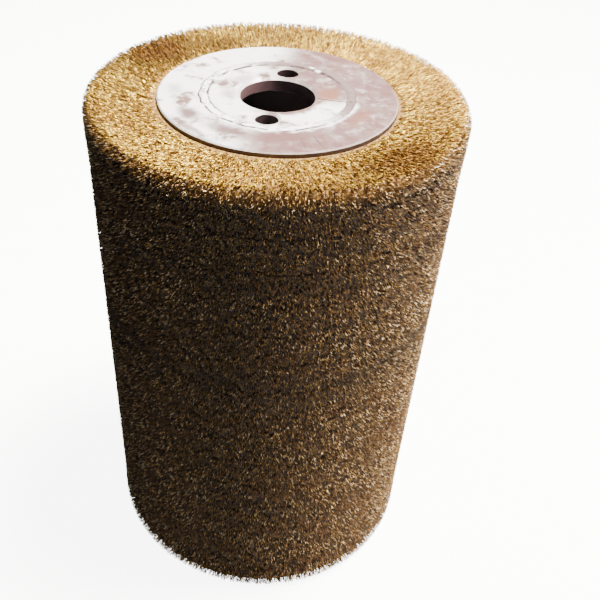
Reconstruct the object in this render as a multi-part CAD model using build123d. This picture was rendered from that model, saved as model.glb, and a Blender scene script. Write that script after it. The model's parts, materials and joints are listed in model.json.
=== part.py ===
"""Wire drum brush: ring sections of crimped brass wire, stacked on a steel pipe between two welded end flanges.

Millimetres. The brush stands on its lower end: the origin is the centre of the lower end face and +Z is the
spin axis. The two drive pin holes of each end lie on the Y axis.
"""
from build123d import *
import os

# Driving dimensions
BRUSH_DIAMETER = 254.0  # over the wire tips, a 10 inch brush
ARBOR_DIAMETER = 50.0
PIPE_DIAMETER = 101.6
PIPE_WALL = 4.5
FLANGE_DIAMETER = 159.0
FLANGE_THICKNESS = 6.5
HUB_THICKNESS = 10.0
SECTION_COUNT = 15
SECTION_PITCH = 25.0
PIN_CIRCLE_DIAMETER = 72.0
PIN_HOLE_DIAMETER = 15.0

# End faces and welds
OVERCUT = 1.0  # a cut runs this far past the edge that it opens
EDGE_CHAMFER = 0.8
BORE_CHAMFER = 1.8  # at the end face, which guides the arbor in
PIN_HOLE_CHAMFER = 1.5
WELD_DEPTH = 3.5  # the pipe stops this far below the end face, and the weld fills the groove
WELD_BEVEL = 1.0
WELD_RECESS = 0.1  # ground just below the end face
SCRIBE_WIDTH = 0.6
SCRIBE_DEPTH = 0.4
PUNCH_DIAMETER = 1.6
PUNCH_DEPTH = 0.9
PUNCH_RADIUS = 48.6  # distance of the punch mark from the axis

# Brush sections
RING_CLEARANCE = 0.3  # section ring over the pipe
RING_BASE = 7.0
RING_WALL = 1.5
RING_OUTER_RADIUS = 72.0
LIP_HEIGHT = 4.0  # the top of each channel wall is rolled in over this height
LIP_INSET = 1.2
RETAINING_WIRE_DIAMETER = 5.0
RETAINING_WIRE_LIFT = 1.5  # from the channel's floor to the retaining wire
FLARE_RADIUS = 86.0  # from here outwards the wire fills the whole pitch
TRIM_CHAMFER = 0.6
KEY_WIDTH = 10.0
KEY_HEIGHT = 5.4
KEY_CLEARANCE = 0.2

# Splayed ends of the wire
FLANGE_GAP = 0.6  # between the wire and the flange's rim
UPPER_RIM_DROP = 3.5  # the wire beside the upper flange lies this far below its face
UPPER_CREST_RADIUS = 114.0
UPPER_CREST_RISE = 2.0
UPPER_CORNER = 5.0
LOWER_RIM_RISE = 2.5
LOWER_CREST_RADIUS = 110.0
LOWER_CREST_HEIGHT = 0.6
LOWER_CORNER = 9.0
SPLAY_SAG = 0.3  # how far from the crest to the rim the middle of the splay lies

# Worked out from the above
brush_radius = BRUSH_DIAMETER / 2
arbor_radius = ARBOR_DIAMETER / 2
pipe_radius = PIPE_DIAMETER / 2
pipe_bore_radius = pipe_radius - PIPE_WALL
flange_radius = FLANGE_DIAMETER / 2
stack_length = SECTION_COUNT * SECTION_PITCH
core_length = stack_length + 2 * FLANGE_THICKNESS
half_pitch = SECTION_PITCH / 2
ring_inner_radius = pipe_radius + RING_CLEARANCE
channel_floor = ring_inner_radius + RING_BASE
lip_start = RING_OUTER_RADIUS - LIP_HEIGHT
wire_start = flange_radius + FLANGE_GAP


def turned(face):
    """A face in the XZ plane, revolved about the spin axis."""
    return revolve(face, Axis.Z, 360)


def outline(points):
    """A closed face in the XZ plane through (radius, height) points."""
    return make_face(Polyline(*[(r, 0, z) for r, z in points], close=True))


def at_upper_end(shape):
    """A piece drawn for the lower end, mirrored to the upper end."""
    return mirror(shape, Plane.XY.offset(core_length / 2))


def core_pipe():
    length = core_length - 2 * WELD_DEPTH
    pipe = Cylinder(pipe_radius, length) - Cylinder(pipe_bore_radius, length)
    return Pos(0, 0, core_length / 2) * pipe


def drive_key():
    """Flat bar on the pipe, which stops every section from turning."""
    outer = pipe_radius + KEY_HEIGHT
    bar = Pos((outer + pipe_bore_radius) / 2, 0, core_length / 2) * Box(
        outer - pipe_bore_radius, KEY_WIDTH, stack_length
    )
    return bar - Pos(0, 0, core_length / 2) * Cylinder(pipe_radius, core_length)


def lower_flange_ring():
    """Outer end plate, slipped over the pipe's end and bevelled for the weld."""
    c, b = EDGE_CHAMFER, WELD_BEVEL
    return turned(
        outline(
            [
                (pipe_radius + b, 0),
                (flange_radius - c, 0),
                (flange_radius, c),
                (flange_radius, FLANGE_THICKNESS - c),
                (flange_radius - c, FLANGE_THICKNESS),
                (pipe_radius, FLANGE_THICKNESS),
                (pipe_radius, b),
            ]
        )
    )


def lower_hub_disc():
    """Boss inside the pipe's end, with the arbor bore, two drive pin holes and the scribed centre lines."""
    c, b = EDGE_CHAMFER, WELD_BEVEL
    disc = turned(
        outline(
            [
                (arbor_radius + BORE_CHAMFER, 0),
                (pipe_bore_radius - b, 0),
                (pipe_bore_radius, b),
                (pipe_bore_radius, HUB_THICKNESS),
                (arbor_radius + c, HUB_THICKNESS),
                (arbor_radius, HUB_THICKNESS - c),
                (arbor_radius, BORE_CHAMFER),
            ]
        )
    )
    for side in (-1, 1):
        disc -= Pos(0, side * PIN_CIRCLE_DIAMETER / 2, 0) * pin_hole()
    pin_hole_edge = (PIN_CIRCLE_DIAMETER - PIN_HOLE_DIAMETER) / 2
    to_weld = scribe_line(pipe_bore_radius)
    to_pin = scribe_line(pin_hole_edge + OVERCUT)
    return disc - to_weld - Rot(0, 0, 90) * to_pin - Rot(0, 0, -90) * to_pin


def pin_hole():
    """Cutter for a through hole with a chamfered mouth at the end face."""
    radius = PIN_HOLE_DIAMETER / 2
    wide_radius = radius + PIN_HOLE_CHAMFER + OVERCUT
    mouth = Cone(wide_radius, radius, PIN_HOLE_CHAMFER + OVERCUT)
    return Cylinder(radius, 3 * HUB_THICKNESS) + Pos(0, 0, (PIN_HOLE_CHAMFER - OVERCUT) / 2) * mouth


def scribe_line(end_radius):
    """Shallow cut along +X from the arbor bore to a radius."""
    start_radius = arbor_radius - OVERCUT
    middle = (start_radius + end_radius) / 2
    return Pos(middle, 0, 0) * Box(end_radius - start_radius, SCRIBE_WIDTH, 2 * SCRIBE_DEPTH)


def lower_weld_bead():
    """Weld metal over the pipe's end, which joins hub, pipe and flange, with one punch mark."""
    b, low = WELD_BEVEL, WELD_RECESS
    bead = turned(
        outline(
            [
                (pipe_bore_radius - b + low, low),
                (pipe_radius + b - low, low),
                (pipe_radius, b),
                (pipe_radius, WELD_DEPTH),
                (pipe_bore_radius, WELD_DEPTH),
                (pipe_bore_radius, b),
            ]
        )
    )
    punch = Pos(PUNCH_RADIUS, 0, 0) * Cylinder(PUNCH_DIAMETER / 2, 2 * PUNCH_DEPTH)
    return bead - punch


def channel_wall():
    """Inner face of a channel's upper wall, from its floor to its lip, about the section's middle."""
    inner = half_pitch - RING_WALL
    return [
        (channel_floor, inner),
        (lip_start, inner),
        (RING_OUTER_RADIUS, inner - LIP_INSET),
    ]


def mirrored_down(points):
    """The same (radius, height) points below the section's middle, in the opposite order."""
    return [(r, -z) for r, z in points[::-1]]


def lifted(points, height):
    """The (radius, height) points, moved up."""
    return [(r, height + z) for r, z in points]


def section_channel(middle):
    """Keyed hub ring with a U channel, whose lips pinch the wire."""
    outside = [
        (ring_inner_radius, half_pitch),
        (lip_start, half_pitch),
        (RING_OUTER_RADIUS, half_pitch - LIP_INSET),
    ]
    half = outside + channel_wall()[::-1]
    ring = turned(outline(lifted(half + mirrored_down(half), middle)))
    slot_radius = pipe_radius + KEY_HEIGHT + KEY_CLEARANCE
    slot = Pos(slot_radius / 2, 0, middle) * Box(
        slot_radius, KEY_WIDTH + 2 * KEY_CLEARANCE, SECTION_PITCH
    )
    return ring - slot


def retaining_wire_profile(middle):
    centre = channel_floor + RETAINING_WIRE_LIFT + RETAINING_WIRE_DIAMETER / 2
    plane = Plane(origin=(centre, 0, middle), x_dir=(1, 0, 0), z_dir=(0, -1, 0))
    return plane * Circle(RETAINING_WIRE_DIAMETER / 2)


def free_side():
    """Upper side of a section's wire from its flare to the trimmed tips, about the section's middle."""
    return [
        (FLARE_RADIUS, half_pitch),
        (brush_radius - TRIM_CHAMFER, half_pitch),
        (brush_radius, half_pitch - TRIM_CHAMFER),
    ]


def inner_fill_outline(middle):
    """Outline of a section's wire that has a neighbour on both sides."""
    half = channel_wall() + free_side()
    return outline(lifted(half + mirrored_down(half), middle))


def end_fill_outline(middle, rim, crest_radius, crest, corner):
    """Outline of an end section's wire, drawn for the lower end, which splays out past the flange's rim.

    rim and crest are the heights of the wire beside the flange and at the crest of the splay.
    """
    splay_middle = ((wire_start + crest_radius) / 2, 0, crest + (rim - crest) * SPLAY_SAG)
    splay = ThreePointArc((wire_start, 0, rim), splay_middle, (crest_radius, 0, crest))
    face_run = Line(splay @ 1, (brush_radius - corner, 0, crest))
    sagitta = corner * (1 - 2**-0.5)
    corner_middle = (brush_radius - sagitta, 0, crest + sagitta)
    corner_arc = ThreePointArc(face_run @ 1, corner_middle, (brush_radius, 0, crest + corner))
    back = channel_wall() + free_side()
    flange_side_wall = mirrored_down(channel_wall())
    inner_run = lifted(back[::-1] + flange_side_wall[::-1], middle)
    rest = Polyline(
        corner_arc @ 1,
        *[(r, 0, z) for r, z in inner_run],
        (wire_start, 0, FLANGE_THICKNESS),
        splay @ 0,
    )
    return make_face(splay + face_run + corner_arc + rest)


def wire_fill(number, middle):
    """The packed wire of one section, with the hollow that its retaining wire lies in."""
    if number == 1:
        face = end_fill_outline(
            middle, LOWER_RIM_RISE, LOWER_CREST_RADIUS, LOWER_CREST_HEIGHT, LOWER_CORNER
        )
        return turned(face - retaining_wire_profile(middle))
    if number == SECTION_COUNT:
        mirrored_middle = core_length - middle
        face = end_fill_outline(
            mirrored_middle, UPPER_RIM_DROP, UPPER_CREST_RADIUS, -UPPER_CREST_RISE, UPPER_CORNER
        )
        return at_upper_end(turned(face - retaining_wire_profile(mirrored_middle)))
    return turned(inner_fill_outline(middle) - retaining_wire_profile(middle))


def all_nodes():
    """Every piece of the brush, by node name."""
    nodes = {"core_pipe": core_pipe(), "drive_key": drive_key()}
    for name, piece in {
        "flange_ring": lower_flange_ring(),
        "hub_disc": lower_hub_disc(),
        "weld_bead": lower_weld_bead(),
    }.items():
        nodes[f"lower_{name}"] = piece
        nodes[f"upper_{name}"] = at_upper_end(piece)
    for number in range(1, SECTION_COUNT + 1):
        middle = FLANGE_THICKNESS + (number - 0.5) * SECTION_PITCH
        section = f"section_{number:02d}"
        nodes[f"{section}_channel"] = section_channel(middle)
        nodes[f"{section}_retaining_wire"] = turned(retaining_wire_profile(middle))
        nodes[f"{section}_wire_fill"] = wire_fill(number, middle)
    return nodes


os.makedirs("parts", exist_ok=True)
for node_name, node_shape in all_nodes().items():
    export_step(node_shape, f"parts/{node_name}.step")
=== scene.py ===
"""Looks of a wire drum brush: crimped brass wire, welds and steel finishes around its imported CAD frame."""

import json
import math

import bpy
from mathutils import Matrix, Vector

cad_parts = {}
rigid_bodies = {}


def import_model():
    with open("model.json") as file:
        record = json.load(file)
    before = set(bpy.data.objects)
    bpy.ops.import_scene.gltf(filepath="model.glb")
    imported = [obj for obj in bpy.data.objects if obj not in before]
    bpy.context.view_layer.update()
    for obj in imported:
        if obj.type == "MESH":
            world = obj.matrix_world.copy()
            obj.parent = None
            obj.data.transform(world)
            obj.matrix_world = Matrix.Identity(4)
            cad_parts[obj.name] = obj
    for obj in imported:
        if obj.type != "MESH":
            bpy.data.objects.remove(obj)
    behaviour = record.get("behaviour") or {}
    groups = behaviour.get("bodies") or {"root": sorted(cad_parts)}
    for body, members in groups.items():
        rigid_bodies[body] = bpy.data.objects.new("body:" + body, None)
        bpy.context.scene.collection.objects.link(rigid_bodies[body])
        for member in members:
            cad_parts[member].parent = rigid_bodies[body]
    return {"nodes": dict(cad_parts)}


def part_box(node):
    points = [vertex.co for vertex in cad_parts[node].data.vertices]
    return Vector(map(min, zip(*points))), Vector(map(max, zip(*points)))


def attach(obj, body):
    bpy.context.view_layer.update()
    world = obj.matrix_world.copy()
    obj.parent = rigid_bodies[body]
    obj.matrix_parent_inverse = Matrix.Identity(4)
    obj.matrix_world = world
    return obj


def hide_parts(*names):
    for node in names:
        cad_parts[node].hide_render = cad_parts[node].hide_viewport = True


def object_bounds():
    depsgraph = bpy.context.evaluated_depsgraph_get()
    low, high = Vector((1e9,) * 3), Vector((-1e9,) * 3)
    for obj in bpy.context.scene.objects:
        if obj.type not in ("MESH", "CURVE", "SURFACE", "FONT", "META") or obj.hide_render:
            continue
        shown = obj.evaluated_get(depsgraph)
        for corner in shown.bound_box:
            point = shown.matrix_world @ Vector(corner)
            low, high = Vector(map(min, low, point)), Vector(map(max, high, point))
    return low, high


bl_info = {
    "name": "Wire Drum Brush",
    "version": (1, 0, 0),
    "blender": (4, 5, 0),
    "location": "3D View > Sidebar > Drum Brush",
    "description": "Covers the frame of a wire drum brush with crimped wire, weld beads and finishes",
    "category": "Object",
}

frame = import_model()
cad_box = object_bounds()

MM = 0.001
BODY = "root"
SECTION_NAMES = sorted({name[:10] for name in frame["nodes"] if name.startswith("section_")})
END_SIGNS = {"lower": -1, "upper": 1}

# Measures of the frame
plate_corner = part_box("upper_flange_ring")[1]
PLATE_RADIUS = plate_corner[0]
PLATE_TOP = plate_corner[2]
PIPE_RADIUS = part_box("core_pipe")[1][0]
HUB_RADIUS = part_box("upper_hub_disc")[1][0]
CHANNEL_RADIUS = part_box("section_01_channel")[1][0]
BRUSH_RADIUS = cad_box[1][0]
BRUSH_TOP = cad_box[1][2]
MIDDLE_HEIGHT = PLATE_TOP / 2
inner_low, inner_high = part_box("section_02_wire_fill")
PITCH = inner_high[2] - inner_low[2]
PUNCH_RADIUS = 48.6 * MM  # distance of the punch mark from the axis
WIRE_SIDES = 3


def linear(hex_colour):
    """An sRGB hex colour as linear red, green and blue."""
    channels = [int(hex_colour[i : i + 2], 16) / 255 for i in (1, 3, 5)]
    return [c / 12.92 if c <= 0.04045 else ((c + 0.055) / 1.055) ** 2.4 for c in channels]


def length_property(name, description, default):
    return bpy.props.FloatProperty(
        name=name,
        description=description,
        default=default,
        min=0.0,
        precision=5,
        unit="LENGTH",
        subtype="DISTANCE",
    )


def colour_property(name, description, hex_colour):
    return bpy.props.FloatVectorProperty(
        name=name,
        description=description,
        default=linear(hex_colour),
        size=3,
        min=0.0,
        max=1.0,
        subtype="COLOR",
    )


class BrushWireSettings(bpy.types.PropertyGroup):
    """Sizes and colours of the crimped wire."""

    thickness: length_property(
        "Wire thickness", "Drawn thickness of one wire; the real wire is taken as 0.3 mm", 0.54 * MM
    )
    tip_length: length_property(
        "Tip length", "Length of the tips that stand out of the packed wire", 5.8 * MM
    )
    tip_crimp: length_property("Tip crimp", "Sideways offset of each crimp in a tip", 0.5 * MM)
    strand_length: length_property(
        "Strand length", "Length of the wires that show on the end faces", 7.6 * MM
    )
    strand_crimp: length_property("Strand crimp", "Sideways offset of each crimp in an end strand", 0.5 * MM)
    packed_depth: length_property(
        "Packed depth", "Depth of the packed wire's surface below the tips", 4.2 * MM
    )
    tip_density: bpy.props.FloatProperty(
        name="Tip density",
        description="Tips for each square metre of packed wire",
        default=370000.0,
        min=1.0,
    )
    strand_density: bpy.props.FloatProperty(
        name="Strand density",
        description="Strands for each square metre of end face",
        default=640000.0,
        min=1.0,
    )
    splay: bpy.props.FloatProperty(
        name="Splay",
        description="Rise of the wires over the end faces, as a slope",
        default=0.54,
        min=0.0,
        max=1.0,
    )
    bright: colour_property("Bright wire", "Crests of clean brass wire", "#FFE271")
    gold: colour_property("Gold wire", "Most of the brass wire", "#DDB843")
    brown: colour_property("Brown wire", "Tarnished brass wire", "#8A632B")
    oiled: colour_property(
        "Oiled wire", "Duller wire on the side, which has worked in oil and dust", "#7A5B3F"
    )
    worn: colour_property("Worn wire", "Paler wire on the side, worn clean near its cut end", "#C69D58")
    # Also the colour of the painted shade in the dark patches of the end faces.
    tarnish_and_shade: colour_property(
        "Heavy tarnish", "Patches on the end faces where the wire is darkest", "#65401A"
    )
    # Pale cut metal, which also stands for the painted glints on the tips of the side.
    cut_end_glint: colour_property("Cut ends", "Pale cut ends of the wires on the side", "#F6DFB8")
    # Also painted shade deep between the wires, towards their roots.
    grime_and_shade: colour_property("Grime", "Dust and oil between the wires", "#45403C")


class BrushSteelSettings(bpy.types.PropertyGroup):
    """Sizes and colours of the steel ends."""

    bead_crown: length_property("Weld crown", "Height of the ground weld bead", 0.35 * MM)
    bead_wander: length_property("Weld wander", "How far the toes of the weld wander", 4.0 * MM)
    # Also painted reflection and highlight: on the plate's -X side and weld band, on chamfers, and on the
    # weld's -X and -Y sides.
    clean: colour_property("Clean steel", "Freshly ground steel", "#FFFDFC")
    steel: colour_property("Steel", "Plain ground steel with a little rust in it", "#6E5755")
    rust: colour_property("Rust bloom", "Thin pink rust", "#5E3A38")
    scorch: colour_property("Scorch", "Orange brown stain beside the scribed line", "#74432C")
    # Painted light with thin rust, on the -X wall of the bore that faces the light.
    bore: colour_property("Bore rust", "Thin rust on the wall of the bore", "#84676A")
    # Also painted shade: on the walls of the holes and the rim, in the creases of the weld toes and in the
    # punch mark.
    dark: colour_property("Dark steel", "Mill scale, rim edge and weld toes", "#3B2B2D")


class BrushStageSettings(bpy.types.PropertyGroup):
    """Floor and camera."""

    floor: colour_property("Floor", "Pale studio paper", "#F6F5F4")
    lens: bpy.props.FloatProperty(
        name="Lens", description="Focal length of the camera", default=47.4, min=1.0, unit="CAMERA"
    )


# Modelling helpers


def deselect_all():
    if bpy.context.mode != "OBJECT":
        bpy.ops.object.mode_set(mode="OBJECT")
    bpy.ops.object.select_all(action="DESELECT")


def make_active(piece):
    deselect_all()
    piece.select_set(True)
    bpy.context.view_layer.objects.active = piece


def named_active(name):
    """The primitive just added, under a name of its own."""
    piece = bpy.context.active_object
    piece.name = name
    piece.data.name = name
    return piece


def settle(piece):
    """Moves the piece's place into its mesh."""
    make_active(piece)
    bpy.ops.object.transform_apply(location=True, rotation=True, scale=True)


def apply_modifiers(piece):
    make_active(piece)
    for modifier in list(piece.modifiers):
        bpy.ops.object.modifier_apply(modifier=modifier.name)


def ring_along(name, profile, segments, closed):
    """A ring about the spin axis, extruded from circle to circle through (radius, height) points."""
    deselect_all()
    radius, height = profile[0]
    bpy.ops.mesh.primitive_circle_add(vertices=segments, radius=radius, location=(0, 0, height))
    ring = named_active(name)
    settle(ring)
    bpy.ops.object.mode_set(mode="EDIT")
    bpy.ops.mesh.select_all(action="SELECT")
    for next_radius, next_height in profile[1:] + (profile[:1] if closed else []):
        bpy.ops.mesh.extrude_edges_move(TRANSFORM_OT_translate={"value": (0, 0, next_height - height)})
        scale = next_radius / radius
        bpy.ops.transform.resize(value=(scale, scale, 1), center_override=(0, 0, next_height))
        radius, height = next_radius, next_height
    bpy.ops.mesh.select_all(action="SELECT")
    bpy.ops.mesh.remove_doubles(threshold=0.001 * MM)
    bpy.ops.mesh.normals_make_consistent(inside=False)
    bpy.ops.object.mode_set(mode="OBJECT")
    return ring


def select_heights(piece, low, high):
    """In edit mode, selects the vertices between two heights."""
    bpy.ops.mesh.select_all(action="DESELECT")
    bpy.ops.object.mode_set(mode="OBJECT")
    for vertex in piece.data.vertices:
        vertex.select = low <= vertex.co.z <= high
    bpy.ops.object.mode_set(mode="EDIT")


def store_attribute(piece, name, value_of):
    """Stores a number on each vertex, worked out from its place."""
    attribute = piece.data.attributes.new(name, "FLOAT", "POINT")
    for vertex in piece.data.vertices:
        attribute.data[vertex.index].value = value_of(vertex.co)


def finish_piece(piece, material, slot, *nodes):
    """Gives a piece its material and its body, and hides the frame nodes that it stands for; the slot is not
    used.
    """
    piece.data.materials.clear()
    piece.data.materials.append(material)
    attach(piece, BODY)
    if nodes:
        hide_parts(*nodes)


# Node helpers


def add_node(tree, kind, settings=None, inputs=None):
    """A node with its settings; an input is a plain value or a socket to link from."""
    node = tree.nodes.new(kind)
    for name, value in (settings or {}).items():
        setattr(node, name, value)
    for key, value in (inputs or {}).items():
        if isinstance(value, bpy.types.NodeSocket):
            tree.links.new(value, node.inputs[key])
        else:
            node.inputs[key].default_value = value
    return node


def calculate(tree, operation, *values):
    """A sum, product or other step on plain numbers."""
    return add_node(tree, "ShaderNodeMath", {"operation": operation}, dict(enumerate(values))).outputs[0]


def vector_step(tree, operation, *values):
    """A step on vectors that gives a vector."""
    return add_node(
        tree, "ShaderNodeVectorMath", {"operation": operation}, dict(enumerate(values))
    ).outputs[0]


def axis_distance(tree, place):
    """Distance from the spin axis."""
    flat = vector_step(tree, "MULTIPLY", place, (1, 1, 0))
    return add_node(tree, "ShaderNodeVectorMath", {"operation": "LENGTH"}, {0: flat}).outputs["Value"]


# Crimped wires


def crimped_wire(name, length, thickness, crimp, bends, turn):
    """One wire that stands on the origin, bent to and fro at each crimp, in the direction turn."""
    deselect_all()
    bpy.ops.mesh.primitive_cylinder_add(
        vertices=WIRE_SIDES,
        radius=thickness / 2,
        depth=length,
        location=(0, 0, length / 2),
        rotation=(0, 0, turn),
    )
    wire = named_active(name)
    settle(wire)
    bpy.ops.object.mode_set(mode="EDIT")
    bpy.ops.mesh.select_mode(type="VERT")
    step = length / bends
    for bend in range(1, bends):
        bpy.ops.mesh.select_all(action="SELECT")
        bpy.ops.mesh.bisect(plane_co=(0, 0, bend * step), plane_no=(0, 0, 1))
    for bend in range(1, bends + 1):
        select_heights(wire, (bend - 0.1) * step, (bend + 0.1) * step)
        side = crimp if bend % 2 else -crimp
        shift = (side * math.cos(turn), side * math.sin(turn), 0)
        bpy.ops.transform.translate(value=shift)
    bpy.ops.object.mode_set(mode="OBJECT")
    bpy.ops.object.shade_smooth()
    store_attribute(wire, "along", lambda place: place.z / length)
    return wire


def wire_family(name, length, thickness, crimp, bend_counts):
    """A hidden collection of like wires, crimped in different directions, to scatter from."""
    family = bpy.data.collections.new(name)
    count = len(bend_counts)
    for number, bends in enumerate(bend_counts):
        turn = 2 * math.pi * number / count
        uneven_crimp = crimp * (0.7 + 0.6 * number / count)
        wire = crimped_wire(f"{name}_{number}", length, thickness, uneven_crimp, bends, turn)
        bpy.context.scene.collection.objects.unlink(wire)
        family.objects.link(wire)
    return family


def drop_family(family):
    """Deletes the wires that were scattered from."""
    for wire in list(family.objects):
        bpy.data.objects.remove(wire)
    bpy.data.collections.remove(family)


def wire_direction(tree, splay):
    """Direction of each wire: outwards from the spin axis, and splayed up or down near the two ends."""
    place = add_node(tree, "GeometryNodeInputPosition").outputs[0]
    outward = vector_step(tree, "NORMALIZE", vector_step(tree, "MULTIPLY", place, (1, 1, 0)))
    height = add_node(tree, "ShaderNodeSeparateXYZ", None, {0: place}).outputs["Z"]
    from_middle = calculate(tree, "MULTIPLY_ADD", height, 1 / MIDDLE_HEIGHT, -1.0)
    lift = calculate(tree, "MULTIPLY", calculate(tree, "POWER", from_middle, 15.0), splay)
    up = add_node(tree, "ShaderNodeCombineXYZ", None, {"Z": lift}).outputs[0]
    return vector_step(tree, "ADD", outward, up)


def trimmed_place(tree):
    """Place of each vertex, cut back to the trimmed cylinder and kept between the brush's two ends."""
    place = add_node(tree, "GeometryNodeInputPosition").outputs[0]
    room = calculate(tree, "DIVIDE", BRUSH_RADIUS + 0.4 * MM, axis_distance(tree, place))
    shrink = calculate(tree, "MINIMUM", room, 1.0)
    scale = add_node(tree, "ShaderNodeCombineXYZ", None, {"X": shrink, "Y": shrink, "Z": 1.0}).outputs[0]
    cut = add_node(tree, "ShaderNodeSeparateXYZ", None, {0: vector_step(tree, "MULTIPLY", place, scale)})
    height = calculate(tree, "MAXIMUM", cut.outputs["Z"], 0.3 * MM)
    height = calculate(tree, "MINIMUM", height, BRUSH_TOP + 0.6 * MM)
    across = {"X": cut.outputs["X"], "Y": cut.outputs["Y"]}
    return add_node(tree, "ShaderNodeCombineXYZ", None, {**across, "Z": height}).outputs[0]


def random_vector(tree, low, high, seed):
    inputs = {"Min": low, "Max": high, "Seed": seed}
    return add_node(tree, "FunctionNodeRandomValue", {"data_type": "FLOAT_VECTOR"}, inputs).outputs[0]


def scatter_tree(family, density, tilt, splay, seed):
    """Geometry nodes that turn a surface into wires which stand out from the spin axis."""
    tree = bpy.data.node_groups.new(f"scatter_{family.name}_{seed}", "GeometryNodeTree")
    tree.interface.new_socket("Geometry", in_out="INPUT", socket_type="NodeSocketGeometry")
    tree.interface.new_socket("Geometry", in_out="OUTPUT", socket_type="NodeSocketGeometry")
    surface = add_node(tree, "NodeGroupInput").outputs[0]
    scattered = add_node(
        tree,
        "GeometryNodeDistributePointsOnFaces",
        {"distribute_method": "RANDOM"},
        {"Mesh": surface, "Density": density, "Seed": seed},
    )
    aimed = add_node(
        tree, "FunctionNodeAlignRotationToVector", {"axis": "Z"}, {"Vector": wire_direction(tree, splay)}
    ).outputs[0]
    wobble = random_vector(tree, (-tilt, -tilt, -math.pi), (tilt, tilt, math.pi), seed + 1)
    wobble = add_node(tree, "FunctionNodeEulerToRotation", None, {0: wobble}).outputs[0]
    turned = add_node(
        tree,
        "FunctionNodeRotateRotation",
        {"rotation_space": "LOCAL"},
        {"Rotation": aimed, "Rotate By": wobble},
    ).outputs[0]
    wires = add_node(
        tree,
        "GeometryNodeCollectionInfo",
        {"transform_space": "ORIGINAL"},
        {"Collection": family, "Separate Children": True, "Reset Children": False},
    ).outputs[0]
    placed = add_node(
        tree,
        "GeometryNodeInstanceOnPoints",
        None,
        {
            "Points": scattered.outputs["Points"],
            "Instance": wires,
            "Pick Instance": True,
            "Rotation": turned,
            "Scale": random_vector(tree, (0.85, 0.85, 0.88), (1.15, 1.15, 1.02), seed + 2),
        },
    ).outputs[0]
    tone = add_node(tree, "FunctionNodeRandomValue", {"data_type": "FLOAT"}, {"Seed": seed + 3}).outputs[1]
    toned = add_node(
        tree,
        "GeometryNodeStoreNamedAttribute",
        {"data_type": "FLOAT", "domain": "INSTANCE"},
        {"Geometry": placed, "Name": "tone", "Value": tone},
    ).outputs[0]
    real = add_node(tree, "GeometryNodeRealizeInstances", None, {0: toned}).outputs[0]
    trimmed = add_node(
        tree, "GeometryNodeSetPosition", None, {"Geometry": real, "Position": trimmed_place(tree)}
    ).outputs[0]
    add_node(tree, "NodeGroupOutput", None, {0: trimmed})
    return tree


def scatter_wires(surface, family, density, tilt, splay, seed):
    """Replaces the surface's mesh by wires rooted all over it."""
    modifier = surface.modifiers.new("scatter", "NODES")
    modifier.node_group = scatter_tree(family, density, tilt, splay, seed)
    apply_modifiers(surface)
    surface.data.materials.clear()


# Outlines of the wire


def middle_band(node):
    """Lowest and highest height of the section's own pitch."""
    number = int(node[8:10])
    bottom = inner_low[2] + (number - 2) * PITCH
    return bottom, bottom + PITCH


def end_face(sign):
    """(radius, height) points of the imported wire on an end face, from the flange's rim to the side."""
    face = PLATE_TOP if sign > 0 else 0.0
    crest = (BRUSH_TOP if sign > 0 else 0.0) - sign * 2.6 * MM
    rim = PLATE_RADIUS + 0.6 * MM
    return [
        (rim, face - sign * 3.2 * MM),
        (rim + 8 * MM, face - sign * 2.7 * MM),
        (rim + 18 * MM, face - sign * 2.0 * MM),
        (rim + 33 * MM, crest),
        (BRUSH_RADIUS - 8 * MM, crest - sign * 0.2 * MM),
        (BRUSH_RADIUS - 5.4 * MM, crest - sign * 1.4 * MM),
        (BRUSH_RADIUS - 4.2 * MM, crest - sign * 4.0 * MM),
    ]


def packed_profile(node, depth):
    """(radius, height) points of a section's packed wire, from the channel's lips to just below the tips."""
    bottom, top = middle_band(node)
    middle = (bottom + top) / 2
    lip = 9.6 * MM
    flare = 86 * MM
    outer = BRUSH_RADIUS - depth
    points = [(CHANNEL_RADIUS - 6 * MM, middle - lip), (CHANNEL_RADIUS, middle - lip)]
    if node.startswith(SECTION_NAMES[0]):
        points += end_face(-1)
    else:
        points += [(flare, bottom), (outer - MM, bottom), (outer, bottom + MM)]
    if node.startswith(SECTION_NAMES[-1]):
        points += end_face(1)[::-1]
    else:
        points += [(outer, top - MM), (outer - MM, top), (flare, top)]
    return points + [(CHANNEL_RADIUS, middle + lip), (CHANNEL_RADIUS - 6 * MM, middle + lip)]


def sunk(points, sign, depth):
    """The same points a little deeper in the wire, for roots that don't show."""
    return [(radius - depth / 2, height - sign * depth) for radius, height in points]


def tip_roots(node, depth):
    """(radius, height) points of the surface that a section's tips are rooted in."""
    bottom, top = middle_band(node)
    outer = BRUSH_RADIUS - depth
    if node.startswith(SECTION_NAMES[0]):
        return sunk(end_face(-1)[4:], -1, 0.6 * MM) + [(outer, top)]
    if node.startswith(SECTION_NAMES[-1]):
        return sunk(end_face(1)[4:], 1, 0.6 * MM) + [(outer, bottom)]
    return [(outer, bottom), (outer, top)]


# Materials


def new_material(name):
    material = bpy.data.materials.new(name)
    material.use_nodes = True
    material.node_tree.nodes.clear()
    return material


def finish_material(material, inputs, bump_height=None, bump_distance=0.0):
    """Principled surface with its inputs, and a bump from a height where one is given."""
    tree = material.node_tree
    shader = add_node(tree, "ShaderNodeBsdfPrincipled", None, inputs)
    if bump_height is not None:
        bump = add_node(tree, "ShaderNodeBump", None, {"Height": bump_height, "Distance": bump_distance})
        tree.links.new(bump.outputs[0], shader.inputs["Normal"])
    add_node(tree, "ShaderNodeOutputMaterial", None, {"Surface": shader.outputs[0]})
    return material


def object_place(tree):
    return add_node(tree, "ShaderNodeTexCoord").outputs["Object"]


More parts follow.
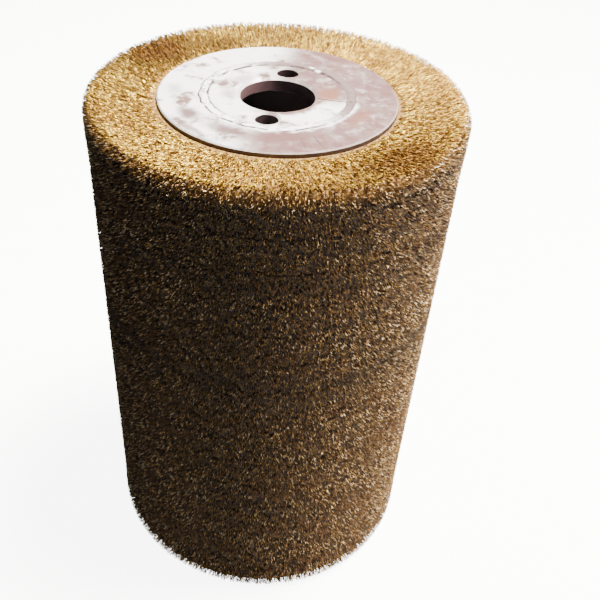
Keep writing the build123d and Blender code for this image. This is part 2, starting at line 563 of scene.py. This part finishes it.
def mix_colours(tree, factor, first, second):
    node = add_node(tree, "ShaderNodeMix", {"data_type": "RGBA"})
    for socket, value in ((node.inputs[0], factor), (node.inputs[6], first), (node.inputs[7], second)):
        if isinstance(value, bpy.types.NodeSocket):
            tree.links.new(value, socket)
        else:
            socket.default_value = (*value, 1.0) if socket.type == "RGBA" else value
    return node.outputs[2]


def ramp(tree, factor, stops):
    """A colour ramp through (position, colour) stops."""
    node = add_node(tree, "ShaderNodeValToRGB", None, {0: factor})
    elements = node.color_ramp.elements
    while len(elements) < len(stops):
        elements.new(0.5)
    for element, (position, colour) in zip(elements, stops):
        element.position = position
        element.color = (*colour, 1.0)
    return node.outputs[0]


def mask(tree, factor, low, high, most=1.0):
    """Goes smoothly from 0 at low to most at high."""
    inputs = {"Value": factor, "From Min": low, "From Max": high, "To Min": 0.0, "To Max": most}
    return add_node(tree, "ShaderNodeMapRange", {"interpolation_type": "SMOOTHSTEP"}, inputs).outputs[0]


def noise(tree, place, size, detail=3.0, stretch=(1, 1, 1)):
    """Noise with patches of about one size, drawn out along each axis by stretch."""
    scale = tuple(1 / (size * factor) for factor in stretch)
    spread = add_node(tree, "ShaderNodeMapping", None, {"Vector": place, "Scale": scale}).outputs[0]
    inputs = {"Vector": spread, "Scale": 1.0, "Detail": detail, "Roughness": 0.6}
    return add_node(tree, "ShaderNodeTexNoise", None, inputs).outputs[0]


def warped_place(tree, place, size, reach):
    """The place, pushed about by up to reach in patches of one size, so that outlines wander."""
    inputs = {"Vector": place, "Scale": 1 / size, "Detail": 4.0}
    push = add_node(tree, "ShaderNodeTexNoise", None, inputs).outputs["Color"]
    centred = vector_step(tree, "SUBTRACT", push, (0.5, 0.5, 0.5))
    scaled = add_node(tree, "ShaderNodeVectorMath", {"operation": "SCALE"}, {0: centred, "Scale": 2 * reach})
    return vector_step(tree, "ADD", place, scaled.outputs[0])


def oval_mask(tree, place, angle_degrees, radius, length, width, strength):
    """Soft oval on the plate, its length measured round the spin axis."""
    angle = math.radians(angle_degrees)
    inputs = {
        "Vector": place,
        "Location": (radius * math.cos(angle), radius * math.sin(angle), 0),
        "Rotation": (0, 0, angle),
        "Scale": (width / 2, length / 2, 1),
    }
    centred = add_node(tree, "ShaderNodeMapping", {"vector_type": "TEXTURE"}, inputs).outputs[0]
    return mask(tree, axis_distance(tree, centred), 1.3, 0.2, strength)


def tarnish(tree, place):
    """How browned the wire is: patches drawn out round the drum, about as tall as a section."""
    rounds = noise(tree, place, 26 * MM, 4.0, (4, 4, 1))
    blotches = noise(tree, place, 14 * MM, 4.0)
    both = calculate(tree, "MULTIPLY", calculate(tree, "ADD", rounds, blotches), 0.5)
    return mask(tree, both, 0.46, 0.62, 0.8)


def root_shade_colour(tree, height, settings):
    """Colour deep between the wires: painted shade with dust and oil, turning to brown near the two ends as
    painted half-shade where the lit end faces roll over into the side.
    """
    from_middle = calculate(tree, "ABSOLUTE", calculate(tree, "SUBTRACT", height, MIDDLE_HEIGHT))
    near_end = mask(tree, from_middle, MIDDLE_HEIGHT - 14 * MM, MIDDLE_HEIGHT - 4 * MM)
    return mix_colours(tree, near_end, settings.grime_and_shade, settings.brown)


# Patches of painted shade on the end faces, the dark sectors where the radial wires turn away from the light
# and the outer edge where the wire rolls over: angle from +X in degrees, radius, length round the drum,
# width, strength
PAINTED_SHADE_PATCHES = (
    (155, 106 * MM, 104 * MM, 66 * MM, 0.95),
    (126, 94 * MM, 40 * MM, 30 * MM, 0.70),
    (-36, 110 * MM, 96 * MM, 56 * MM, 0.90),
    (-75, 124 * MM, 110 * MM, 16 * MM, 0.80),
    (-135, 127 * MM, 110 * MM, 10 * MM, 0.60),
    (185, 122 * MM, 50 * MM, 16 * MM, 0.45),
    (40, 122 * MM, 26 * MM, 20 * MM, 0.40),
    (-2, 106 * MM, 90 * MM, 56 * MM, 0.65),
    (98, 104 * MM, 110 * MM, 52 * MM, 0.45),
)

# Bands of grime round the side: height, half width, strength
GRIMY_BANDS = (
    (242 * MM, 11 * MM, 0.75),
    (226 * MM, 14 * MM, 0.35),
    (324 * MM, 10 * MM, 0.65),
    (350 * MM, 9 * MM, 0.40),
    (374 * MM, 6 * MM, 0.50),
    (290 * MM, 8 * MM, 0.25),
)


def crimped_brass(name, settings, dull, shades, root_start, root_end, patches=()):
    """Crimped brass wire, drawn and cut: clean crests, cut ends with painted glints, tarnish on the flanks,
    roots darkened by painted shade with dust and oil, and patches of painted shade where given.
    """
    material = new_material(name)
    tree = material.node_tree
    place = object_place(tree)
    tone = add_node(tree, "ShaderNodeAttribute", {"attribute_name": "tone"}).outputs["Fac"]
    along = add_node(tree, "ShaderNodeAttribute", {"attribute_name": "along"}).outputs["Fac"]
    tufted = calculate(tree, "MULTIPLY_ADD", noise(tree, place, 3.2 * MM), 2.6, -1.3)
    shade = calculate(tree, "ADD", tufted, tone)
    colour = mix_colours(tree, tarnish(tree, place), ramp(tree, shade, shades), dull)
    # Patches of painted shade on the end faces, where the wires turn away from the light.
    for *shape, strength in patches:
        patch = oval_mask(tree, warped_place(tree, place, 12 * MM, 8 * MM), *shape, strength)
        colour = mix_colours(tree, patch, colour, settings.tarnish_and_shade)
    height = add_node(tree, "ShaderNodeSeparateXYZ", None, {0: place}).outputs["Z"]
    root = root_shade_colour(tree, height, settings)
    # Painted shade with dust and oil darkens each wire towards its root, deep among the others.
    colour = mix_colours(tree, mask(tree, along, root_start, root_end), root, colour)
    streaky = mask(tree, noise(tree, place, 9 * MM, 3.0, (3, 3, 1)), 0.35, 0.55)
    for band_height, half_width, strength in GRIMY_BANDS:
        away = calculate(tree, "ABSOLUTE", calculate(tree, "SUBTRACT", height, band_height))
        band = calculate(tree, "MULTIPLY", mask(tree, away, half_width, 0.0, strength), streaky)
        colour = mix_colours(tree, band, colour, settings.grime_and_shade)
    return finish_material(material, {"Base Color": colour, "Metallic": 0.9, "Roughness": 0.45})


def packed_brass(settings):
    """Brass wire packed tight below the tips: dark with painted shade, speckled where the ends of deeper
    wires catch light.
    """
    material = new_material("packed_brass_wire")
    tree = material.node_tree
    place = object_place(tree)
    height = add_node(tree, "ShaderNodeSeparateXYZ", None, {0: place}).outputs["Z"]
    # Wire ends are taken as 0.6 mm apart and drawn 1.1 mm apart, so that they show
    cells = add_node(
        tree, "ShaderNodeTexVoronoi", None, {"Vector": place, "Scale": 1 / (1.1 * MM)}
    ).outputs[0]
    speckle = ramp(tree, cells, [(0.15, settings.gold), (0.4, settings.oiled), (0.7, settings.grime_and_shade)])
    # Half of the packed wire's colour is painted shade from deep between the wires.
    colour = mix_colours(tree, 0.5, speckle, root_shade_colour(tree, height, settings))
    inputs = {"Base Color": colour, "Metallic": 0.0, "Roughness": 0.85, "Specular IOR Level": 0.2}
    return finish_material(material, inputs)


# Stains and dark scratches on the end plates: angle from +X in degrees, radius, length round the plate,
# width, strength, colour name
STAINS = (
    (12, 34 * MM, 26 * MM, 18 * MM, 0.90, "scorch"),
    (150, 32 * MM, 26 * MM, 14 * MM, 0.55, "steel"),
    (195, 32 * MM, 20 * MM, 14 * MM, 0.60, "steel"),
    (100, 44 * MM, 44 * MM, 12 * MM, 0.55, "steel"),
    (270, 27.5 * MM, 10 * MM, 6 * MM, 0.95, "rust"),
    (221, 65 * MM, 24 * MM, 16 * MM, 0.95, "rust"),
    (190, 68 * MM, 20 * MM, 14 * MM, 0.50, "steel"),
    (252, 61 * MM, 44 * MM, 16 * MM, 0.95, "rust"),
    (285, 60 * MM, 44 * MM, 20 * MM, 0.90, "rust"),
    (300, 72 * MM, 70 * MM, 14 * MM, 0.80, "rust"),
    (235, 75 * MM, 50 * MM, 7 * MM, 0.80, "steel"),
    (69, 74 * MM, 44 * MM, 12 * MM, 0.80, "rust"),
    (18, 74 * MM, 34 * MM, 12 * MM, 0.75, "rust"),
    (-20, 60 * MM, 34 * MM, 12 * MM, 0.60, "scorch"),
    (0, 36 * MM, 1.4 * MM, 26 * MM, 0.90, "dark"),
    (-58, 67 * MM, 1.6 * MM, 18 * MM, 0.85, "dark"),
    (-66, 70 * MM, 1.2 * MM, 14 * MM, 0.70, "dark"),
)


def ground_steel(name, settings):
    """Mild steel, turned and ground by hand: faint rings, thin rust bloom, clean areas with a painted
    reflection, chamfers with a painted highlight, and dark edges with painted shade.
    """
    material = new_material(name)
    tree = material.node_tree
    place = object_place(tree)
    warped = warped_place(tree, place, 8 * MM, 5 * MM)
    bloom = noise(tree, place, 9 * MM, 4.0)
    colour = mix_colours(tree, mask(tree, bloom, 0.38, 0.62, 0.8), settings.steel, settings.rust)
    # Clean areas, partly ground clean and partly a painted reflection of the light: most of the -X side, and
    # the front of the band that was ground with the weld
    side = add_node(tree, "ShaderNodeSeparateXYZ", None, {0: warped})
    distance = axis_distance(tree, warped)
    left = mask(tree, side.outputs["X"], 8 * MM, -24 * MM)
    band = calculate(
        tree, "MULTIPLY", mask(tree, distance, 28 * MM, 34 * MM), mask(tree, distance, 56 * MM, 51 * MM)
    )
    front = calculate(tree, "MULTIPLY", band, mask(tree, side.outputs["Y"], 8 * MM, -12 * MM))
    patchy = mask(tree, noise(tree, place, 16 * MM, 5.0), 0.34, 0.50)
    clean = calculate(tree, "MULTIPLY", calculate(tree, "MAXIMUM", left, front), patchy)
    touched = mask(tree, noise(tree, place, 7 * MM, 5.0), 0.48, 0.75, 0.22)
    colour = mix_colours(tree, calculate(tree, "MAXIMUM", clean, touched), colour, settings.clean)
    for *shape, strength, tint in STAINS:
        oval = oval_mask(tree, warped if shape[2] > 2 * MM else place, *shape, strength)
        colour = mix_colours(tree, oval, colour, getattr(settings, tint))
    # Turning marks are taken as 0.3 mm apart and drawn 1.3 mm apart, so that they show
    rings = calculate(
        tree, "SINE", calculate(tree, "MULTIPLY", axis_distance(tree, place), 2 * math.pi / (1.3 * MM))
    )
    worn = calculate(tree, "MULTIPLY_ADD", rings, 0.05, calculate(tree, "MULTIPLY", bloom, 0.16))
    colour = mix_colours(tree, worn, colour, settings.dark)
    # Chamfers get a painted highlight and walls get painted shade over dark mill scale, except that the -X
    # wall of the bore, which faces the light, is painted lighter with thin rust
    normal = add_node(tree, "ShaderNodeTexCoord").outputs["Normal"]
    upright = calculate(
        tree, "ABSOLUTE", add_node(tree, "ShaderNodeSeparateXYZ", None, {0: normal}).outputs["Z"]
    )
    colour = mix_colours(tree, mask(tree, upright, 0.95, 0.8, 0.15), colour, settings.clean)
    lit_and_rusted = calculate(
        tree, "MULTIPLY", mask(tree, distance, 33 * MM, 29 * MM), mask(tree, side.outputs["X"], 0, -20 * MM)
    )
    walls = mix_colours(tree, lit_and_rusted, settings.dark, settings.bore)
    colour = mix_colours(tree, mask(tree, upright, 0.6, 0.3), colour, walls)
    # Rusty steel is rough and reflects little; ground steel shines
    metallic = calculate(tree, "MULTIPLY_ADD", clean, 0.40, 0.10)
    roughness = calculate(tree, "MULTIPLY_ADD", clean, -0.30, 0.68)
    return finish_material(material, {"Base Color": colour, "Metallic": metallic, "Roughness": roughness})


# Bright specks of spatter on the weld: angle from +X in degrees, and radius
SPATTER = ((65, 47.5 * MM), (-55, 47.5 * MM), (72, 50 * MM), (-100, 48 * MM), (205, 49 * MM))


def weld_steel(settings):
    """Weld metal ground almost flush, with a painted highlight on its -X and -Y sides, a broken dark line of
    scale and painted shade on each toe, and a punch mark painted as a dark dot.
    """
    material = new_material("ground_weld_metal")
    tree = material.node_tree
    place = object_place(tree)
    side = add_node(tree, "ShaderNodeSeparateXYZ", None, {0: place})
    # Painted highlight: the -X and -Y sides are lit towards clean steel.
    lit = mask(tree, calculate(tree, "ADD", side.outputs["X"], side.outputs["Y"]), 45 * MM, -20 * MM)
    mottle = mask(tree, noise(tree, place, 5 * MM, 5.0), 0.30, 0.55)
    colour = mix_colours(tree, calculate(tree, "MULTIPLY", lit, mottle), settings.steel, settings.clean)
    # Dark lines of scale and painted shade in the crease at each toe: the outer toe's is left mostly on the
    # -X and -Y sides, the inner toe's on the -X and +Y sides
    toe = add_node(tree, "ShaderNodeAttribute", {"attribute_name": "toe"}).outputs["Fac"]
    broken = mask(tree, noise(tree, place, 9 * MM, 4.0), 0.36, 0.52)
    leftward = calculate(tree, "SUBTRACT", 10 * MM, side.outputs["X"])
    for edge_start, edge_end, slant in ((0.40, 0.58, -1.0), (-0.50, -0.66, 1.0)):
        sided = calculate(tree, "MULTIPLY_ADD", side.outputs["Y"], slant, leftward)
        left_over = calculate(tree, "MULTIPLY", mask(tree, sided, -20 * MM, 25 * MM), broken)
        line = calculate(tree, "MULTIPLY", mask(tree, toe, edge_start, edge_end), left_over)
        colour = mix_colours(tree, line, colour, settings.dark)
    for angle, radius in SPATTER:
        speck = oval_mask(tree, place, angle, radius, 5 * MM, 4 * MM, 1.0)
        colour = mix_colours(tree, speck, colour, settings.clean)
    # The punch mark is painted as a dark dot: painted shade in a dimple that isn't modelled.
    from_punch = vector_step(tree, "SUBTRACT", place, (PUNCH_RADIUS, 0, 0))
    punch = mask(tree, axis_distance(tree, from_punch), 1.5 * MM, 0.9 * MM)
    colour = mix_colours(tree, punch, colour, settings.dark)
    ripple = noise(tree, place, 2.5 * MM)
    return finish_material(
        material, {"Base Color": colour, "Metallic": 0.35, "Roughness": 0.38}, ripple, 0.3 * MM
    )


def plain_steel(name, colour, second_colour, roughness):
    """Plain hidden steel with a faint mottle."""
    material = new_material(name)
    tree = material.node_tree
    mottle = noise(tree, object_place(tree), 16 * MM, 4.0)
    mixed = mix_colours(tree, mottle, linear(colour), linear(second_colour))
    return finish_material(material, {"Base Color": mixed, "Metallic": 0.8, "Roughness": roughness})


def paint_node(node_name, material):
    """A frame node's own object gets a finish on its slots."""
    node = frame["nodes"][node_name]
    for material_slot in node.material_slots:
        material_slot.material = material


# Operators


class DRUMBRUSH_OT_packed_wire(bpy.types.Operator):
    """Rings of packed wire, one for each section, below the tips"""

    bl_idname = "drumbrush.packed_wire"
    bl_label = "Packed wire"

    def execute(self, context):
        settings = context.scene.brush_wire
        material = packed_brass(settings)
        for section in SECTION_NAMES:
            node = f"{section}_wire_fill"
            piece = ring_along(
                f"{section}_packed_wire", packed_profile(node, settings.packed_depth), 180, True
            )
            finish_piece(piece, material, "brass_wire", node)
        return {"FINISHED"}


class DRUMBRUSH_OT_wire_tips(bpy.types.Operator):
    """Crimped wire tips all over the drum's side, section by section"""

    bl_idname = "drumbrush.wire_tips"
    bl_label = "Wire tips"

    def execute(self, context):
        settings = context.scene.brush_wire
        shades = [
            (0.1, settings.grime_and_shade),
            (0.5, settings.oiled),
            (0.85, settings.worn),
            # The palest tone: pale cut ends with painted glints.
            (1.0, settings.cut_end_glint),
        ]
        material = crimped_brass("crimped_brass_wire", settings, settings.oiled, shades, 0.45, 0.92)
        bends = (1, 2, 1, 2, 1)
        family = wire_family("tips", settings.tip_length, settings.thickness, settings.tip_crimp, bends)
        for number, section in enumerate(SECTION_NAMES):
            node = f"{section}_wire_fill"
            piece = ring_along(f"{section}_wire_tips", tip_roots(node, settings.tip_length), 96, False)
            splay = 0.5 * settings.splay
            scatter_wires(piece, family, settings.tip_density, math.radians(15), splay, 10 * number)
            finish_piece(piece, material, "brass_wire", node)
        drop_family(family)
        return {"FINISHED"}


class DRUMBRUSH_OT_end_strands(bpy.types.Operator):
    """Crimped strands that splay out over both end faces, past the flanges"""

    bl_idname = "drumbrush.end_strands"
    bl_label = "End strands"

    def execute(self, context):
        settings = context.scene.brush_wire
        shades = [
            (0.0, settings.tarnish_and_shade),
            (0.25, settings.brown),
            (0.6, settings.gold),
            (1.0, settings.bright),
        ]
        patches = PAINTED_SHADE_PATCHES
        material = crimped_brass("splayed_brass_wire", settings, settings.brown, shades, 0.0, 0.35, patches)
        bends = (2, 3, 2, 3, 2)
        family = wire_family(
            "strands", settings.strand_length, settings.thickness, settings.strand_crimp, bends
        )
        beside_rim = [(PLATE_RADIUS + 0.5 * MM, PLATE_TOP - 8 * MM)]
        upper = sunk(end_face(1), 1, 0.7 * MM)
        lower = sunk(end_face(-1), -1, 0.7 * MM)
        fields = (
            ("upper_inner", SECTION_NAMES[-1], beside_rim + upper[:3], 1.0, 1.0),
            ("upper_outer", SECTION_NAMES[-1], upper[2:5], 1.0, 1.0),
            ("lower", SECTION_NAMES[0], lower[:5], 0.36, 0.5),
        )
        for number, (name, section, roots, share, splay) in enumerate(fields):
            piece = ring_along(f"{name}_strands", roots, 96, False)
            density = share * settings.strand_density
            scatter_wires(piece, family, density, math.radians(9), splay * settings.splay, 500 + 10 * number)
            finish_piece(piece, material, "brass_wire", f"{section}_wire_fill")
        drop_family(family)
        return {"FINISHED"}


class DRUMBRUSH_OT_weld_beads(bpy.types.Operator):
    """Wavy weld beads, ground almost flush, round both hubs"""

    bl_idname = "drumbrush.weld_beads"
    bl_label = "Weld beads"

    def execute(self, context):
        settings = context.scene.brush_steel
        material = weld_steel(settings)
        for end, sign in END_SIGNS.items():
            bead = weld_bead(f"{end}_ground_weld", sign, settings)
            finish_piece(bead, material, "weld_metal", f"{end}_weld_bead")
        return {"FINISHED"}


def weld_bead(name, sign, settings):
    """A bead over the pipe's end, whose toes wander over the hub and the flange, ground almost level."""
    face = PLATE_TOP if sign > 0 else 0.6 * MM
    crown = settings.bead_crown
    inner = HUB_RADIUS - 0.8 * MM
    outer = PIPE_RADIUS + 2.2 * MM
    middle = (inner + outer) / 2
    rise = (
        (inner, -2.0 * MM),
        (inner, -0.4 * MM),
        (inner + MM, 0.3 * crown),
        (inner + 2.4 * MM, 0.9 * crown),
        (middle, crown),
        (outer - 2.4 * MM, 0.9 * crown),
        (outer - MM, 0.3 * crown),
        (outer, -0.4 * MM),
        (outer, -2.0 * MM),
    )
    bead = ring_along(name, [(radius, face + sign * height) for radius, height in rise], 300, True)
    half_width = (outer - inner) / 2
    store_attribute(bead, "toe", lambda place: (math.hypot(place.x, place.y) - middle) / half_width)
    for direction, size, reach in (
        ("X", 13 * MM, settings.bead_wander),
        ("Y", 11 * MM, settings.bead_wander),
        ("Z", 5 * MM, settings.bead_crown),
    ):
        ripple = bead.modifiers.new(f"ripple_{direction}", "DISPLACE")
        ripple.texture = bpy.data.textures.new(f"{name}_{direction}", "CLOUDS")
        ripple.texture.noise_scale = size
        ripple.texture_coords = "LOCAL"
        ripple.direction = direction
        ripple.strength = reach
    apply_modifiers(bead)
    bpy.ops.object.shade_smooth_by_angle(angle=math.radians(50))
    return bead


class DRUMBRUSH_OT_steel_finishes(bpy.types.Operator):
    """Finishes of the flanges, hubs, pipe, channels, key and retaining wires"""

    bl_idname = "drumbrush.steel_finishes"
    bl_label = "Steel finishes"

    def execute(self, context):
        settings = context.scene.brush_steel
        plate = ground_steel("ground_mild_steel", settings)
        pipe = plain_steel("mill_scaled_steel", "#6A605E", "#7E7472", 0.6)
        channel = plain_steel("pressed_steel_sheet", "#8C8D8E", "#757678", 0.4)
        retaining = plain_steel("drawn_steel_wire", "#7E7C7A", "#6A6866", 0.35)
        key = plain_steel("bright_drawn_bar", "#93918F", "#7D7B79", 0.35)
        for end in END_SIGNS:
            paint_node(f"{end}_flange_ring", plate)
            paint_node(f"{end}_hub_disc", plate)
        paint_node("core_pipe", pipe)
        paint_node("drive_key", key)
        for section in SECTION_NAMES:
            paint_node(f"{section}_channel", channel)
            paint_node(f"{section}_retaining_wire", retaining)
        return {"FINISHED"}


class DRUMBRUSH_OT_stage(bpy.types.Operator):
    """Pale floor, soft lights and the camera"""

    bl_idname = "drumbrush.stage"
    bl_label = "Stage"

    def execute(self, context):
        settings = context.scene.brush_stage
        add_floor(settings)
        add_area_light("high_window", (0.55, 0.25, 2.2), 0.6, 340.0, "#FFFAEE")
        add_area_light("back_window", (-0.35, 1.8, 1.2), 1.2, 24.0, "#FFFBF6")
        add_area_light("right_window", (1.4, 0.2, 0.22), 0.8, 60.0, "#FFF0DF")
        add_area_light("front_fill", (0.6, -1.7, 0.8), 1.2, 6.0, "#EEF0F4")
        add_area_light("floor_bounce", (0.18, -0.45, 0.02), 0.4, 0.75, "#F6F2EC")
        add_world()
        add_camera(settings)
        return {"FINISHED"}


def add_floor(settings):
    """Paper floor that curves up into a backdrop all round, and doesn't light the brush itself."""
    cove = [(3.0, 0.0), (3.6, 0.03), (4.1, 0.18), (4.5, 0.5), (4.7, 1.0), (4.8, 5.0)]
    floor = ring_along("floor", cove, 96, False)
    make_active(floor)
    bpy.ops.object.mode_set(mode="EDIT")
    select_heights(floor, -MM, MM)
    bpy.ops.mesh.edge_face_add()
    bpy.ops.object.mode_set(mode="OBJECT")
    bpy.ops.object.shade_smooth_by_angle(angle=math.radians(40))
    material = new_material("studio_floor_paper")
    tree = material.node_tree
    colour = mix_colours(tree, noise(tree, object_place(tree), 1.1 * MM), settings.floor, linear("#F0EFEE"))
    glow = {"Emission Color": (*settings.floor, 1.0), "Emission Strength": 8.0}
    finish_material(material, {"Base Color": colour, "Roughness": 0.9, **glow})
    floor.data.materials.append(material)
    floor.visible_diffuse = False
    floor.visible_glossy = False
    floor.visible_shadow = False


def add_area_light(name, place, size, power, hex_colour):
    """A square soft light aimed at the drum's upper half."""
    light = bpy.data.lights.new(name, "AREA")
    light.shape = "SQUARE"
    light.size = size
    light.energy = power
    light.color = linear(hex_colour)
    lamp = bpy.data.objects.new(name, light)
    lamp.location = place
    aim = Vector((0, 0, 0.3)) - Vector(place)
    lamp.rotation_euler = aim.to_track_quat("-Z", "Y").to_euler()
    bpy.context.scene.collection.objects.link(lamp)


def add_world():
    world = bpy.data.worlds.new("studio")
    world.use_nodes = True
    background = world.node_tree.nodes["Background"]
    background.inputs["Color"].default_value = (*linear("#DFE8F5"), 1.0)
    background.inputs["Strength"].default_value = 0.16
    bpy.context.scene.world = world


def add_camera(settings):
    """The camera looks down on the upper end, with a slight roll."""
    distance = 488.8 * MM
    height = 615.0 * MM
    azimuth = math.radians(9.94)
    turn = math.radians(9.76)
    pitch = math.radians(39.55)
    roll = math.radians(2.83)
    camera_data = bpy.data.cameras.new("camera")
    camera_data.lens = settings.lens
    camera_data.sensor_width = 36
    camera_data.shift_x = 0.05
    camera = bpy.data.objects.new("camera", camera_data)
    place = Vector((distance * math.sin(azimuth), -distance * math.cos(azimuth), height))
    tilt = Matrix.Rotation(math.pi / 2 - pitch, 4, "X")
    camera.matrix_world = (
        Matrix.Translation(place) @ Matrix.Rotation(turn, 4, "Z") @ tilt @ Matrix.Rotation(roll, 4, "Z")
    )
    bpy.context.scene.collection.objects.link(camera)
    bpy.context.scene.camera = camera


class DRUMBRUSH_PT_panel(bpy.types.Panel):
    """Lists the brush's pieces and the sizes they are made with"""

    bl_idname = "DRUMBRUSH_PT_panel"
    bl_label = "Drum Brush"
    bl_space_type = "VIEW_3D"
    bl_region_type = "UI"
    bl_category = "Drum Brush"

    def draw(self, context):
        layout = self.layout
        for operator in OPERATORS:
            layout.operator(operator.bl_idname)
        for settings in (context.scene.brush_wire, context.scene.brush_steel, context.scene.brush_stage):
            for name in settings.__annotations__:
                layout.prop(settings, name)


OPERATORS = (
    DRUMBRUSH_OT_packed_wire,
    DRUMBRUSH_OT_wire_tips,
    DRUMBRUSH_OT_end_strands,
    DRUMBRUSH_OT_weld_beads,
    DRUMBRUSH_OT_steel_finishes,
    DRUMBRUSH_OT_stage,
)
SETTINGS = {
    "brush_wire": BrushWireSettings,
    "brush_steel": BrushSteelSettings,
    "brush_stage": BrushStageSettings,
}


def register():
    for group in SETTINGS.values():
        bpy.utils.register_class(group)
    for name, group in SETTINGS.items():
        setattr(bpy.types.Scene, name, bpy.props.PointerProperty(type=group))
    for cls in (*OPERATORS, DRUMBRUSH_PT_panel):
        bpy.utils.register_class(cls)


def unregister():
    for cls in (DRUMBRUSH_PT_panel, *reversed(OPERATORS)):
        bpy.utils.unregister_class(cls)
    for name, group in reversed(SETTINGS.items()):
        delattr(bpy.types.Scene, name)
        bpy.utils.unregister_class(group)


def main():
    register()
    bpy.ops.drumbrush.packed_wire()
    bpy.ops.drumbrush.wire_tips()
    bpy.ops.drumbrush.end_strands()
    bpy.ops.drumbrush.weld_beads()
    bpy.ops.drumbrush.steel_finishes()
    bpy.ops.drumbrush.stage()
    bpy.context.view_layer.update()


if __name__ == "__main__":
    main()
